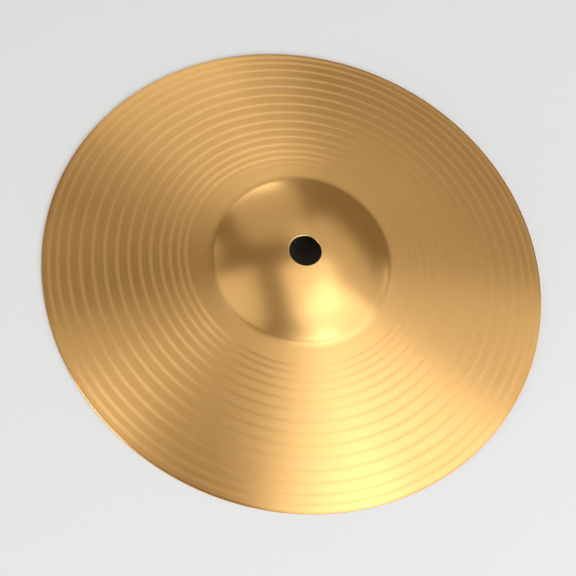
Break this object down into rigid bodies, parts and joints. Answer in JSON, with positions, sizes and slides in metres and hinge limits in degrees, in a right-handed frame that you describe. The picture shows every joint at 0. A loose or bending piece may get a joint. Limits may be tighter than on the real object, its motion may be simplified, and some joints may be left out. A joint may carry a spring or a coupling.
{
  "type": "cymbal",
  "caption": "Round spun hand cymbal plate: a shallow bow with a raised bell, a strap hole through the middle and a spiral groove turned over the bow.",
  "frame": {"origin": "on the axis of turning, level with the flat land under the rim that the plate rests on", "axes": "+Z along the axis of turning, towards the bell; +X through the outer end of the spiral groove"},
  "size_m": [0.2032, 0.2032, 0.0219],
  "materials": {
    "brass": "turned satin with brushed rings"
  },
  "bodies": {
    "root": {"cymbal_plate": "brass"}
  },
  "joints": []
}
